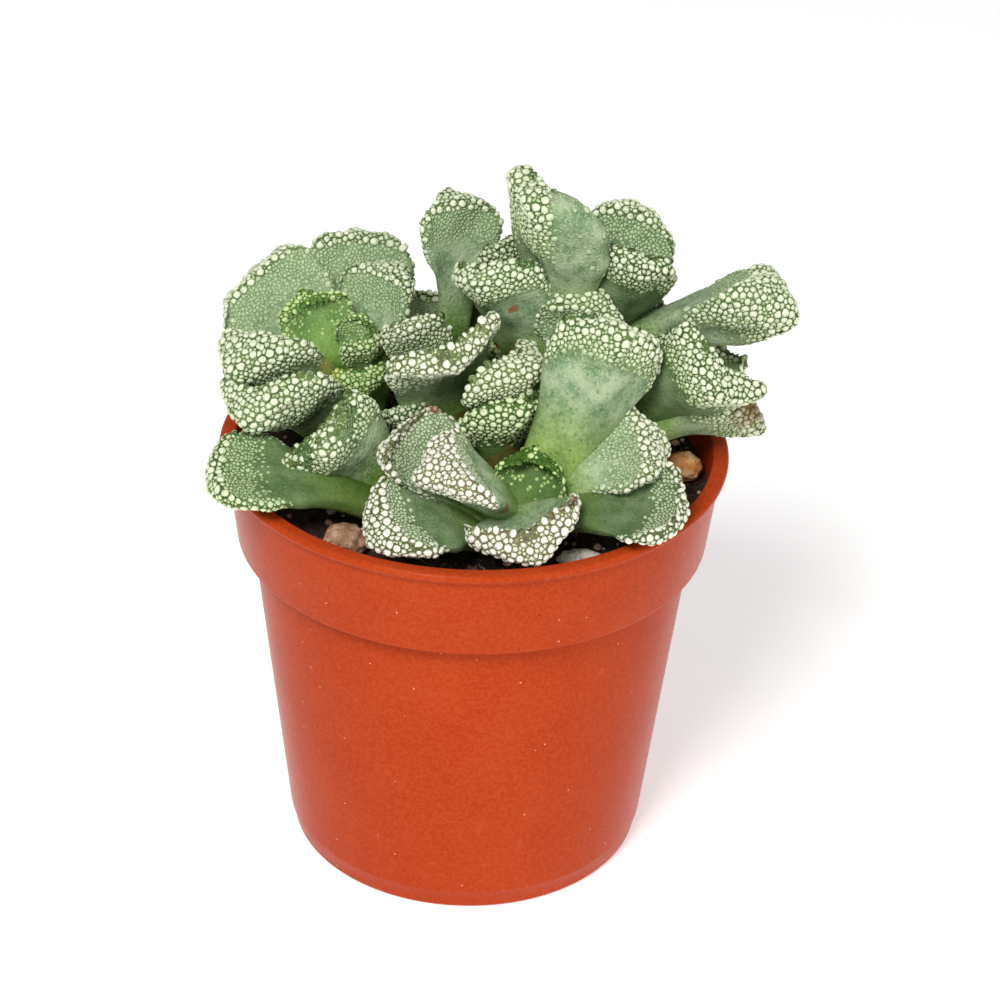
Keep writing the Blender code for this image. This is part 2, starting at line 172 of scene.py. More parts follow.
def turn(name, profile, sides):
    """Turns a solid: a disc at the profile's first point is extruded and resized to each next."""
    radius, height = profile[0]
    bpy.ops.mesh.primitive_circle_add(vertices=sides, radius=radius * MM, fill_type="NGON",
                                      location=(0.0, 0.0, height * MM))
    piece = bpy.context.object
    piece.name = name
    bpy.ops.object.mode_set(mode="EDIT")
    bpy.ops.mesh.select_mode(type="FACE")
    for next_radius, next_height in profile[1:]:
        rise = (0.0, 0.0, (next_height - height) * MM)
        bpy.ops.mesh.extrude_region_move(TRANSFORM_OT_translate={"value": rise})
        grow = next_radius / radius
        bpy.ops.transform.resize(value=(grow, grow, 1.0),
                                 center_override=(0.0, 0.0, next_height * MM))
        radius, height = next_radius, next_height
    bpy.ops.mesh.select_all(action="SELECT")
    bpy.ops.mesh.normals_make_consistent(inside=False)
    bpy.ops.object.mode_set(mode="OBJECT")
    bpy.ops.object.transform_apply(location=True, rotation=True, scale=True)
    return piece


def dress(piece, material, slot, *nodes):
    """Gives a piece its finish, puts it in the root body and hides the nodes it stands for."""
    piece.data.materials.clear()
    piece.data.materials.append(material)
    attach(piece, "root")
    if nodes:
        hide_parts(*nodes)


INNER_LIP_RADIUS = COLLAR_TOP_RADIUS - WALL
pot_profile = [
    *bend((BASE_RADIUS - 0.8, 0.8), 0.8, -85, -8),
    (BASE_RADIUS + 0.27, 2.5),
    (BASE_RADIUS + 0.52, 2.8),
    (BASE_RADIUS + 0.60, 3.2),
    (BODY_TOP_RADIUS - 0.1, COLLAR_FOOT_HEIGHT - 0.6),
    *bend((BODY_TOP_RADIUS + 0.4, COLLAR_FOOT_HEIGHT - 0.5), 0.5, 180, 90, 4),
    *bend((COLLAR_FOOT_RADIUS - 0.45, COLLAR_FOOT_HEIGHT + 0.45), 0.45, -90, -5),
    (COLLAR_TOP_RADIUS - 0.05, POT_HEIGHT - 2.1),
    *bend((COLLAR_TOP_RADIUS + 0.5, POT_HEIGHT - 1.75), 0.5, 180, 110, 4),
    *bend((LIP_RADIUS - 0.62, POT_HEIGHT - 0.62), 0.62, -45, 90, 8),
    *bend((INNER_LIP_RADIUS + 0.5, POT_HEIGHT - 0.5), 0.5, 90, 180),
    (COLLAR_FOOT_RADIUS - WALL, INNER_STEP[1]),
    (BODY_TOP_RADIUS - WALL, INNER_STEP[0]),
    (BASE_RADIUS - WALL, POT_FLOOR),
]
pot = turn("pot_shell", pot_profile, POT_SIDES)
for number in range(DRAIN_HOLES):
    angle = math.tau * (number + 0.5) / DRAIN_HOLES
    bpy.ops.mesh.primitive_cylinder_add(
        vertices=DRAIN_HOLE_SIDES, radius=DRAIN_HOLE_RADIUS * MM, depth=4 * POT_FLOOR * MM,
        location=(DRAIN_CIRCLE_RADIUS * math.cos(angle) * MM,
                  DRAIN_CIRCLE_RADIUS * math.sin(angle) * MM, 0.0))
    drill = bpy.context.object
    cut = pot.modifiers.new("drain hole", "BOOLEAN")
    cut.operation = "DIFFERENCE"
    cut.object = drill
    bpy.context.view_layer.objects.active = pot
    bpy.ops.object.modifier_apply(modifier=cut.name)
    bpy.data.objects.remove(drill)
bpy.ops.object.select_all(action="DESELECT")
pot.select_set(True)
bpy.context.view_layer.objects.active = pot
bpy.ops.object.shade_smooth_by_angle(angle=POT_SMOOTH_ANGLE)

plastic = Finish("terracotta plastic")
haze = plastic.cloud(9.0, 4.0).rise(0.35, 0.75)
speck = plastic.cells(1.1).rise(0.13, 0.07) * plastic.chance(1.1).rise(0.90, 0.93)
soot = plastic.cells(1.7).rise(0.10, 0.05) * plastic.chance(1.7).rise(0.94, 0.96)
scuff = plastic.cloud(2.2, 6.0).rise(0.62, 0.78) * haze
shell = plastic.mix(haze * 0.5, paint(166, 54, 14), paint(175, 64, 24))
mottle = plastic.cloud(0.5, 3.0).rise(0.35, 0.65)
shell = plastic.mix(mottle * 0.3, shell, paint(188, 82, 46))
shell = plastic.mix(scuff * 0.22, shell, paint(206, 118, 86))
shell = plastic.mix(soot * 0.8, shell, paint(84, 30, 16))
shell = plastic.mix(speck * 0.75, shell, paint(232, 184, 162))
moulding = plastic.cloud(0.35, 2.0) * 0.6 + plastic.cloud(3.0, 2.0) * 0.4
pot_finish = plastic.close(shell, scuff * 0.18 + 0.26, moulding, 0.018, Specular_IOR_Level=0.05)
dress(pot, pot_finish, "pot_plastic", "pot")

# Soil: dark peat that fills the pot to about 5 mm below its lip. Its surface is crumbly, with
# loose crumbs, pale mineral grit and a few fine root fibres lying on it.
SOIL_TOP = 52.2
SOIL_BUMP = 0.35
SOIL_GRAIN = 6.5
SOIL_GAP = 0.15
SOIL_SIDES = 180
SOIL_RINGS = 62
CRUMB_COUNT = 2600
GRIT_COUNT = 240
FIBRE_COUNT = 46
FIBRE_STEPS = 8
FIBRE_SIDES = 4
FIBRE_LIFT = 0.22
chooser = np.random.default_rng(7)


def pot_inside(height):
    """The radius of the collar's inner wall at a height."""
    share = (height - COLLAR_FOOT_HEIGHT) / (POT_HEIGHT - 1.3 - COLLAR_FOOT_HEIGHT)
    return COLLAR_FOOT_RADIUS + (COLLAR_TOP_RADIUS - COLLAR_FOOT_RADIUS) * share - WALL


def soil_height(x, y):
    """The soil's surface: low broad bumps with finer crumbs on them."""
    here = Vector((x, y, 0.0))
    broad = SOIL_BUMP * noise.noise(here / SOIL_GRAIN)
    fine = 0.5 * noise.noise(here / 1.9 + Vector((7.0, 3.0, 1.0)))
    crumbs = 0.32 * noise.noise(here / 0.62 + Vector((1.0, 9.0, 4.0)))
    return SOIL_TOP + broad + fine + crumbs


def shade(piece, smooth):
    """Shades all of a piece's faces smooth, or all of them flat."""
    piece.data.polygons.foreach_set("use_smooth", [smooth] * len(piece.data.polygons))


def mesh_piece(name, points, faces, traits=None, smooth=True):
    """Makes a piece of points in millimetres, with a number at each point for every trait."""
    mesh = bpy.data.meshes.new(name)
    mesh.from_pydata((np.asarray(points) * MM).tolist(), [], faces)
    for trait, values in (traits or {}).items():
        layer = mesh.attributes.new(trait, "FLOAT", "POINT")
        layer.data.foreach_set("value", np.asarray(values, dtype=np.float32))
    piece = bpy.data.objects.new(name, mesh)
    shade(piece, smooth)
    bpy.context.scene.collection.objects.link(piece)
    return piece


def lump_shape(subdivisions):
    """The points and triangles of a small ball, to be roughened into crumbs and grains."""
    bpy.ops.mesh.primitive_ico_sphere_add(subdivisions=subdivisions, radius=1.0)
    ball = bpy.context.object
    points = np.array([vert.co[:] for vert in ball.data.vertices])
    faces = [tuple(face.vertices) for face in ball.data.polygons]
    bpy.data.objects.remove(ball)
    return points, faces


def lumps(name, places, sizes, shape, rough, traits=None):
    """Joins roughened copies of a small ball, one at each place, into one piece."""
    base, faces = shape
    points = []
    links = []
    for index, (place, size) in enumerate(zip(places, sizes)):
        turned = base @ np.array(Matrix.Rotation(chooser.uniform(0, math.tau), 3, "Z")
                                 @ Matrix.Rotation(chooser.uniform(0, math.tau), 3, "X"))
        spread = 1.0 + rough * chooser.uniform(-1.0, 1.0, (len(base), 1))
        stretch = chooser.uniform(0.65, 1.25, 3) * (1.0, 1.0, 0.8)
        points.append(turned * spread * stretch * size + place)
        links += [tuple(i + index * len(base) for i in face) for face in faces]
    carried = {trait: np.repeat(values, len(base)) for trait, values in (traits or {}).items()}
    return mesh_piece(name, np.concatenate(points), links, carried, smooth=False)


def strewn(count, reach, lift=0.0):
    """Random places on the soil, within a radius."""
    turns = chooser.uniform(0, math.tau, count)
    radii = reach * np.sqrt(chooser.uniform(0, 1, count))
    flat = np.stack([radii * np.cos(turns), radii * np.sin(turns)], 1)
    return np.array([(x, y, soil_height(x, y) + lift) for x, y in flat])


soil_edge = pot_inside(SOIL_TOP) - SOIL_GAP
soil_rings = np.linspace(soil_edge, 0.3, SOIL_RINGS)
soil_profile = [
    (BASE_RADIUS - WALL - 0.3, POT_FLOOR + 0.3),
    (BODY_TOP_RADIUS - WALL - 0.4, INNER_STEP[0]),
    (COLLAR_FOOT_RADIUS - WALL - 0.4, INNER_STEP[1] + 0.3),
    *[(radius, SOIL_TOP) for radius in soil_rings],
]
soil = turn("soil_bed", soil_profile, SOIL_SIDES)
for vert in soil.data.vertices:
    if vert.co.z > (SOIL_TOP - 0.5) * MM:
        x, y = vert.co.x / MM, vert.co.y / MM
        if math.hypot(x, y) < soil_edge - 0.2:
            vert.co.z = soil_height(x, y) * MM
shade(soil, True)

peat = Finish("dark peat soil")
damp = peat.cloud(4.0, 3.0).rise(0.35, 0.65)
fleck = peat.cells(0.9).rise(0.30, 0.20) * peat.chance(0.9).rise(0.86, 0.92)
earth = peat.mix(damp, paint(30, 20, 16), paint(62, 42, 32))
earth = peat.mix(fleck * 0.7, earth, paint(128, 96, 74))
peat_finish = peat.close(earth, 0.9, peat.cloud(0.5, 6.0), 0.35)
dress(soil, peat_finish, "soil", "soil")

crumb_sizes = chooser.uniform(0.22, 0.62, CRUMB_COUNT) * chooser.uniform(0.5, 1.0, CRUMB_COUNT)
crumbs = lumps("soil_crumbs", strewn(CRUMB_COUNT, soil_edge - 0.6, 0.05), crumb_sizes,
               lump_shape(1), 0.3, {"tint": chooser.uniform(0, 1, CRUMB_COUNT)})
crumb = Finish("peat crumbs")
loose = crumb.mix(crumb.trait("tint").rise(0.2, 1.0), paint(26, 17, 13), paint(92, 62, 44))
dress(crumbs, crumb.close(loose, 0.92, crumb.cloud(0.25, 3.0), 0.12), "soil")

grit_sizes = chooser.uniform(0.25, 0.6, GRIT_COUNT) * chooser.uniform(0.5, 1.2, GRIT_COUNT)
grit = lumps("soil_grit", strewn(GRIT_COUNT, soil_edge - 0.8, 0.2), grit_sizes, lump_shape(2),
             0.16, {"tint": chooser.uniform(0, 1, GRIT_COUNT)})
sand = Finish("pale grit")
tint = sand.trait("tint")
grains = sand.mix(tint.rise(0.35, 0.5), paint(238, 226, 214), paint(226, 176, 156))
grains = sand.mix(tint.rise(0.75, 0.85), grains, paint(168, 132, 100))
dress(grit, sand.close(grains, 0.7, sand.cloud(0.3, 3.0), 0.08), "stone")


def fibre_route(start):
    """The points of a fibre that curls over the soil from its start, and the fibre's thickness."""
    heading = chooser.uniform(0, math.tau)
    curl = chooser.uniform(-1.6, 1.6)
    length = chooser.uniform(1.5, 4.5)
    thick = chooser.uniform(0.05, 0.11)
    route = [start]
    for share in np.linspace(0, 1, FIBRE_STEPS + 1)[1:]:
        way = heading + curl * share
        x = route[-1][0] + math.cos(way) * length / FIBRE_STEPS
        y = route[-1][1] + math.sin(way) * length / FIBRE_STEPS
        if math.hypot(x, y) > soil_edge - 0.5:
            break
        route.append(np.array([x, y, soil_height(x, y) + FIBRE_LIFT]))
    return route, thick


def fibre_mesh():
    """The points and faces of all root fibres. Each is a thin closed tube along its route."""
    points = []
    faces = []
    for start in strewn(FIBRE_COUNT, soil_edge - 2.5, 0.25):
        route, thick = fibre_route(start)
        if len(route) < 3:
            continue
        first = len(points)
        for step, middle in enumerate(route):
            ahead = route[min(step + 1, len(route) - 1)] - route[max(step - 1, 0)]
            side = np.cross(ahead, (0, 0, 1))
            side /= np.linalg.norm(side)
            top = np.cross(side, ahead / np.linalg.norm(ahead))
            for corner in range(FIBRE_SIDES):
                angle = math.tau * corner / FIBRE_SIDES
                points.append(middle + thick * (math.cos(angle) * side + math.sin(angle) * top))
        last = len(points) - FIBRE_SIDES
        for ring in range(first, last, FIBRE_SIDES):
            for corner in range(FIBRE_SIDES):
                a = ring + corner
                b = ring + (corner + 1) % FIBRE_SIDES
                faces.append((a, b, b + FIBRE_SIDES, a + FIBRE_SIDES))
        faces.append(tuple(range(first + FIBRE_SIDES - 1, first - 1, -1)))
        faces.append(tuple(range(last, last + FIBRE_SIDES)))
    return points, faces


fibres = mesh_piece("soil_fibres", *fibre_mesh())
straw = Finish("dry root fibre")
dried = straw.mix(straw.cloud(1.0), paint(98, 62, 38), paint(170, 126, 88))
dress(fibres, straw.close(dried, 0.8), "soil")

# Stones: three worn pebbles on the soil. One is brown, one is ochre with a pale crust, and one is
# grey-white gravel. Each is a rough ball, squeezed to its place and pitted by weather. A row says
# where its noise starts, and its body, light and dark colours.
STONES = {
    "stone_brown": (3, (150, 112, 84), (196, 158, 126), (96, 66, 48)),
    "stone_ochre": (11, (200, 136, 72), (236, 196, 146), (136, 82, 44)),
    "stone_grey": (23, (206, 198, 182), (240, 234, 222), (120, 108, 92)),
}


def make_stone(name, seed, body, light, dark):
    """Makes a pebble that fills its node's box, and gives it its mineral finish."""
    low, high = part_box(name)
    bpy.ops.mesh.primitive_ico_sphere_add(subdivisions=5, radius=1.0)
    stone = bpy.context.object
    stone.name = name + "_pebble"
    shift = Vector((seed, seed * 0.37, seed * 0.71))
    for vert in stone.data.vertices:
        way = vert.co.copy()
        facets = 0.22 * noise.noise(way * 1.1 + shift) + 0.12 * noise.noise(way * 2.6 + shift)
        pits = 0.035 * noise.noise(way * 7.0 + shift) + 0.015 * noise.noise(way * 17.0)
        vert.co = way * (1.0 + facets + pits)
        vert.co.z = max(vert.co.z, -0.62)
    points = np.array([vert.co[:] for vert in stone.data.vertices])
    lowest, highest = points.min(0), points.max(0)
    fitted = (points - lowest) / (highest - lowest) * np.array(high - low) + np.array(low)
    stone.data.vertices.foreach_set("co", fitted.ravel())
    shade(stone, True)
    mineral = Finish(name + " mineral")
    patch = mineral.cloud(1.6, 5.0).rise(0.38, 0.66)
    pit = mineral.cloud(0.45, 3.0).rise(0.55, 0.68)
    colour = mineral.mix(patch, paint(*body), paint(*light))
    colour = mineral.mix(pit * 0.6, colour, paint(*dark))
    relief = mineral.cloud(0.5, 6.0)
    dress(stone, mineral.close(colour, 0.85, relief, 0.2), "stone", name)


for name, look in STONES.items():
    make_stone(name, *look)

# Leaf heads: eight rosettes of thick leaves on short stems. A leaf is a smooth waxy wedge that
# widens to a broad, hollowed and cut-off end, where round warts crowd together like cobbles. They
# are cream-white with dark grooves between them, and shrink into the grey-green skin of the base.
# Depths and outlines are shares of a leaf's half width, FLARE is a share of its length, CURL is
# its bend in radians and WAVE is in millimetres. YOUNG_PLAIN is the share of warts that a young
# leaf's upper face lacks. A leaf's own form may say otherwise.
LEAF_SIDES = 56
SHAFT_SHARES = np.concatenate([np.linspace(0.0, 0.45, 7), np.linspace(0.45, 1.0, 19)[1:]])
DOME_STEPS = 10
DOME_POWER = 3.0
NECK = 0.54
KEEL_DEPTH = (0.52, 0.90)
UPPER_DEPTH = (0.24, 0.20)
HOLLOW = 0.50
BLUNT = 0.16
FLARE = 0.22
CURL = 0.30
END_ARC = 0.10
END_CORNER = 0.24
END_BULGE = 0.24
END_CHIN = 0.30
WAVE = 0.26
YOUNG_PLAIN = 0.8
STEM_TAPER = 0.9
STEM_FOOT = 48.3
STEM_SIDES = 24
STEM_RINGS = 12

# Each head is its stem (x, y, radius, top) and its leaves. A leaf is (root, tip, facing, width,
# form), and facing is the way that its upper face looks. Form says what sets the leaf apart:
# neck and flare: how narrow its base is, and where it starts to widen
# keel and blunt: how deep its underside is, and how thick its end's edge is
# hollow and curl: how far its upper face sinks, and how far it bends over
# arc, corner, lean and bulge: the outline of its end
# spread and bare: how far back its warts reach, and the side that has hardly any
# young, frost and dark: how much fresh green, white and deep green its colour has. The deep
# green is partly painted shade, on leaves that lie in shadow in the clump
HEADS = {
    "head_left": ((-15.5, 4.5, 4.5, 62.0), (
        ((-15.5, 6.0, 60.0), (-28.2, 10.0, 74.8), (0.2, -0.9, 0.3), 15.0,
         {"arc": 0.05, "hollow": 0.3, "curl": 0.5, "lean": 0.05, "bulge": 0.1, "corner": 0.2}),
        ((-15.0, 6.0, 60.0), (-15.5, 15.5, 78.2), (0.15, -0.8, 0.6), 14.0,
         {"arc": 0.15, "hollow": 0.3}),
        ((-17.5, 6.0, 61.0), (-20.8, 5.0, 72.8), (0.25, -0.9, 0.35), 9.5,
         {"arc": -0.1, "hollow": 0.6, "young": 1.0, "bulge": 0.1, "corner": 0.1}),
        ((-13.5, 5.0, 62.0), (-12.9, 9.5, 76.1), (-0.6, -0.75, 0.3), 11.0,
         {"keel": 1.1, "hollow": 0.3, "arc": 0.0, "lean": -0.1}),
        ((-15.3, 5.0, 62.0), (-15.2, 3.5, 71.5), (-0.4, -0.9, 0.2), 5.5, {"young": 0.7}),
        ((-13.5, 4.5, 61.0), (-14.5, 2.5, 70.5), (-0.5, 0.85, 0.2), 6.0, {"young": 0.6}),
        ((-14.0, 2.5, 57.0), (-14.6, 0.0, 67.6), (-0.2, 0.95, 0.2), 8.0,
         {"young": 0.9, "neck": 0.7, "spread": 0.4}),
        ((-17.0, 5.0, 60.0), (-28.3, -2.5, 73.3), (0.2, 0.6, 0.75), 13.0,
         {"hollow": 0.15, "keel": 1.1, "corner": 0.35}),
        ((-17.0, 2.0, 57.0), (-26.8, -7.2, 70.4), (0.1, 0.65, 0.75), 15.0, {"keel": 1.1}),
        ((-17.0, 7.0, 58.0), (-27.0, 18.0, 64.0), (0.2, -0.3, 0.9), 12.0, {}),
        ((-14.0, 7.0, 58.0), (-18.5, 23.0, 65.0), (0.0, -0.3, 0.9), 12.0, {}),
    )),
    "head_near": ((-11.0, -11.0, 3.2, 57.5), (
        ((-10.5, -9.6, 56.0), (-19.6, -12.1, 65.6), (-0.5, 0.85, 0.2), 13.5,
         {"hollow": 0.9, "arc": -0.1, "corner": 0.1, "neck": 0.7, "keel": 0.9, "spread": 0.6}),
        ((-11.0, -14.4, 55.3), (-31.5, -16.8, 62.6), (0.15, -0.15, 0.95), 13.5,
         {"neck": 0.38, "keel": 0.6, "hollow": 0.25, "dark": 0.8, "young": 0.3}),
    )),
    "head_front": ((7.0, -15.5, 4.2, 58.0), (
        ((1.0, -18.0, 55.4), (-10.0, -26.4, 61.6), (0.65, 0.1, 0.75), 12.5,
         {"keel": 0.9, "frost": 0.8, "hollow": 0.25, "spread": 0.6, "dark": 0.8, "neck": 0.75}),
        ((3.3, -17.3, 56.0), (-8.5, -15.4, 66.6), (0.45, -0.5, 0.7), 11.8,
         {"frost": 0.8, "hollow": 0.6, "dark": 0.4, "corner": 0.1, "arc": 0.0}),
        ((5.5, -16.5, 55.0), (-2.2, -21.5, 67.8), (0.85, 0.2, 0.45), 12.5,
         {"frost": 1.0, "hollow": 0.2, "spread": 0.6}),
        ((7.3, -16.5, 55.0), (6.6, -18.0, 63.6), (-0.2, -0.95, 0.3), 9.0,
         {"neck": 0.9, "young": 1.0, "hollow": 0.9, "bulge": 0.1, "dark": 0.8}),
        ((6.5, -16.0, 55.0), (5.8, -26.4, 62.2), (-0.3, 0.35, 0.85), 14.0,
         {"keel": 0.95, "frost": 1.0, "hollow": 0.6, "blunt": 0.35, "spread": 0.5,
          "dark": 0.3}),
        ((9.0, -17.0, 56.5), (24.5, -22.3, 62.4), (-0.1, -0.3, 0.95), 12.5,
         {"keel": 0.6, "frost": 0.6, "spread": 0.6, "dark": 0.9}),
        ((8.5, -14.0, 57.5), (20.6, -13.6, 67.1), (-0.3, -0.4, 0.85), 13.5,
         {"frost": 0.4, "hollow": 0.25}),
        ((9.0, -14.6, 57.0), (17.0, -8.0, 79.0), (-0.2, 0.95, -0.2), 14.0,
         {"neck": 0.7, "spread": 0.6, "flare": 0.35, "dark": 0.15}),
    )),
    "head_small": ((3.0, -7.6, 3.2, 63.0), (
        ((2.4, -5.8, 60.5), (2.8, -5.6, 73.3), (-0.75, 0.5, 0.4), 12.5,
         {"keel": 1.1, "young": 0.2, "frost": 0.4}),
        ((3.2, -7.6, 58.0), (3.9, -9.1, 68.9), (-0.4, 0.7, 0.6), 12.0,
         {"young": 0.4, "hollow": 0.6, "keel": 0.75, "dark": 0.8}),
    )),
    "head_middle": ((-3.0, -0.5, 3.2, 63.0), (
        ((-1.5, -1.5, 58.0), (-4.4, -8.0, 77.0), (-0.5, 0.8, 0.32), 15.0,
         {"curl": 1.2, "keel": 0.6, "neck": 0.8, "frost": 0.4, "hollow": 0.6, "arc": 0.0,
          "corner": 0.15}),
        ((-4.0, 0.5, 61.0), (-8.5, 0.5, 74.3), (-0.1, 0.95, 0.35), 8.5,
         {"frost": 0.3, "keel": 0.8}),
        ((-1.8, 0.2, 61.0), (0.6, 1.0, 69.5), (-0.2, -0.9, 0.4), 7.0, {"young": 0.8}),
        ((-5.0, -2.0, 56.0), (-9.0, -3.0, 64.5), (-0.2, 0.9, 0.2), 8.5,
         {"dark": 1.0, "spread": 0.4}),
    )),
    "head_tall": ((12.0, 5.0, 4.2, 67.0), (
        ((14.0, 5.5, 65.5), (36.3, 4.0, 80.3), (0.0, 0.25, 0.95), 13.5,
         {"curl": 0.2, "keel": 1.25, "hollow": 0.1, "bulge": 0.45, "arc": 0.3}),
        ((14.0, 8.0, 63.0), (23.5, 10.0, 71.5), (-0.1, -0.3, 0.9), 8.0, {"dark": 0.8}),
        ((10.0, 6.0, 66.0), (9.6, 4.0, 91.8), (0.55, 0.8, 0.15), 14.0,
         {"arc": 0.15, "lean": 0.35, "corner": 0.3, "bare": -1, "neck": 0.65, "blunt": 0.25,
          "spread": 1.3}),
        ((14.0, 7.0, 66.0), (19.8, 12.0, 84.0), (0.1, -0.9, 0.4), 12.0,
         {"arc": 0.2, "hollow": 0.3, "dark": 0.6}),
        ((14.5, 6.5, 66.0), (20.0, 5.0, 82.5), (0.1, 0.9, 0.4), 11.5,
         {"spread": 0.6, "dark": 0.8}),
        ((9.0, 6.5, 66.0), (2.5, 8.5, 81.5), (-0.4, 0.5, 0.7), 7.0, {"dark": 0.6}),
        ((9.0, 4.4, 63.0), (1.2, 2.7, 82.0), (0.2, 0.8, 0.55), 12.0,
         {"curl": 0.6, "neck": 0.85, "spread": 0.6}),
        ((12.5, 3.0, 65.0), (12.9, 0.0, 76.7), (-0.2, -0.95, 0.1), 11.0,
         {"arc": 0.15, "hollow": 0.25}),
        ((11.5, 8.0, 64.0), (10.0, 25.0, 70.0), (0.0, -0.4, 0.9), 12.0, {}),
    )),
    "head_side": ((18.0, -1.5, 3.2, 62.0), (
        ((18.0, 0.0, 61.0), (30.8, -7.5, 74.5), (0.35, 0.85, 0.4), 14.0,
         {"arc": -0.15, "corner": 0.05, "hollow": 0.6, "keel": 1.1, "spread": 0.7, "dark": 0.7,
          "blunt": 0.25}),
        ((18.5, -3.0, 60.0), (34.3, -1.0, 65.6), (-0.1, 0.3, 0.95), 11.5, {}),
        ((19.0, 0.0, 59.0), (32.0, 11.0, 66.0), (-0.2, -0.2, 0.95), 11.0, {}),
    )),
    "head_back": ((-4.0, 8.0, 3.0, 64.0), (
        ((-4.0, 8.0, 62.0), (-2.2, 10.0, 85.5), (0.4, -0.85, 0.15), 10.5,
         {"neck": 0.42, "arc": 0.1, "hollow": 0.35, "flare": 0.5}),
        ((-4.5, 9.0, 60.0), (-4.5, 24.0, 66.2), (0.0, -0.4, 0.9), 12.0, {}),
        ((-3.5, 8.5, 60.0), (2.0, 12.5, 75.0), (0.0, -0.7, 0.5), 10.0, {"dark": 1.0}),
    )),
}


def smooth(low, high, value):
    """Rises gently from 0 at low to 1 at high."""
    share = np.clip((value - low) / (high - low), 0.0, 1.0)
    return share * share * (3.0 - 2.0 * share)


def ripple(points, seed, length):
    """A gentle random swell over space, mostly -1 to 1, with waves of about the given length."""
    waves = np.random.default_rng(seed)
    total = np.zeros(points.shape[:-1])
    for _ in range(7):
        way = waves.normal(size=3)
        way /= np.linalg.norm(way) * length / math.tau * waves.uniform(0.7, 1.5)
        total += np.sin(points @ way + waves.uniform(0, math.tau))
    return total / 3.0


def leaf_surface(leaf, seed):
    """The grid of points on a leaf, ring by ring, and what is known of each point.

    The leaf's middle line is an arc from root to tip, which bows towards the upper face. Each
    point has its share of the length and of the domed end, its place across and in height, how
    far back from the end it lies, and how far it is upper face, margin, bare or plain.
    """
    root, tip, facing, width, form = leaf
    root, tip = np.array(root), np.array(tip)
    half = width / 2.0
    neck = form.get("neck", NECK)
    keel = form.get("keel", 1.0)
    arc = form.get("arc", END_ARC)
    corner = form.get("corner", END_CORNER)
    curl = form.get("curl", CURL)
    along = (tip - root) / np.linalg.norm(tip - root)
    up = np.array(facing) - along * np.dot(facing, along)
    up /= np.linalg.norm(up)
    side = np.cross(along, up)
    bulge = half * form.get("bulge", END_BULGE)
    bow = (np.linalg.norm(tip - root) - bulge) / (2.0 * math.sin(curl / 2))
    quarter = np.linspace(0.0, math.pi / 2, DOME_STEPS + 1)[1:]
    share = np.concatenate([SHAFT_SHARES, np.ones(DOME_STEPS)])[:, None]
    dome = np.concatenate([np.zeros(len(SHAFT_SHARES)), np.sin(quarter) ** (2 / DOME_POWER)])
    dome = dome[:, None]
    angle = -np.arange(LEAF_SIDES) * math.tau / LEAF_SIDES
    across, height = np.cos(angle)[None, :], np.sin(angle)[None, :]
    wide = half * (neck + (1.0 - neck) * smooth(form.get("flare", FLARE), 0.90, share))
    below = half * keel * (KEEL_DEPTH[0] + (KEEL_DEPTH[1] - KEEL_DEPTH[0])
                           * smooth(0.45, 0.95, share))
    above = half * (UPPER_DEPTH[0] + (UPPER_DEPTH[1] - UPPER_DEPTH[0]) * smooth(0.3, 0.8, share))
    hollow = half * form.get("hollow", HOLLOW) * smooth(0.35, 0.95, share)
    roundness = 2.0 - 0.85 * smooth(0.4, 0.9, share)
    x = wide * across
    edge = np.sqrt(np.abs(height))
    blunt = half * form.get("blunt", BLUNT)
    upper = above * edge - hollow * (1.0 - across ** 2)
    lower = -blunt * edge - (below - blunt) * (1.0 - np.abs(across) ** roundness)
    z = np.where(height >= 0, upper, lower)
    shrink = np.clip(1.0 - dome ** DOME_POWER, 0.0, 1.0) ** (1.0 / DOME_POWER)
    middle = -0.3 * below
    x, z = x * shrink, middle + (z - middle) * shrink
    reach = np.abs(x / half)
    forward = bulge * dome + smooth(0.45, 1.0, share) * (
        form.get("lean", 0.0) * x - END_CHIN * (z - 0.2 * above)
        - half * (arc * reach ** 2.6 + corner * reach ** 9))
    turn_angle = (curl * (share - 0.5))[..., None]
    ahead = np.cos(turn_angle) * along - np.sin(turn_angle) * up
    upward = np.cos(turn_angle) * up + np.sin(turn_angle) * along
    middle_line = root + bow * ((math.sin(curl / 2) + np.sin(turn_angle)) * along
                                + (np.cos(turn_angle) - math.cos(curl / 2)) * up)
    points = middle_line + x[..., None] * side + z[..., None] * upward + forward[..., None] * ahead
    flat = {name: np.broadcast_to(value, x.shape) for name, value in
            (("share", share), ("dome", dome), ("across", across), ("height", height))}
    points = points + surface_normals(points) * (
        WAVE * smooth(0.3, 0.8, flat["share"]) * ripple(points, seed, 4.5))[..., None]
    back = (1.0 - flat["share"]) * np.linalg.norm(tip - root) / half / form.get("spread", 1.0)
    upper = smooth(-0.05, 0.25, flat["height"]) * (flat["dome"] == 0)
    margin = smooth(0.82, 0.97, np.abs(flat["across"])) * (flat["dome"] == 0)
    bare = smooth(0.1, 0.4, flat["across"] * form.get("bare", 0))
    plain = np.full(x.shape, YOUNG_PLAIN * form.get("young", 0.0))
    flat.update({"back": back, "upper": upper, "margin": margin, "bare": bare, "plain": plain})
    return points, flat


def surface_normals(points):
    """Outward unit normals of a leaf's grid of points."""
    around = np.roll(points, -1, 1) - np.roll(points, 1, 1)
    onward = np.gradient(points, axis=0)
    normal = np.cross(around, onward)
    size = np.linalg.norm(normal, axis=2, keepdims=True)
    return normal / np.maximum(size, 1e-9)


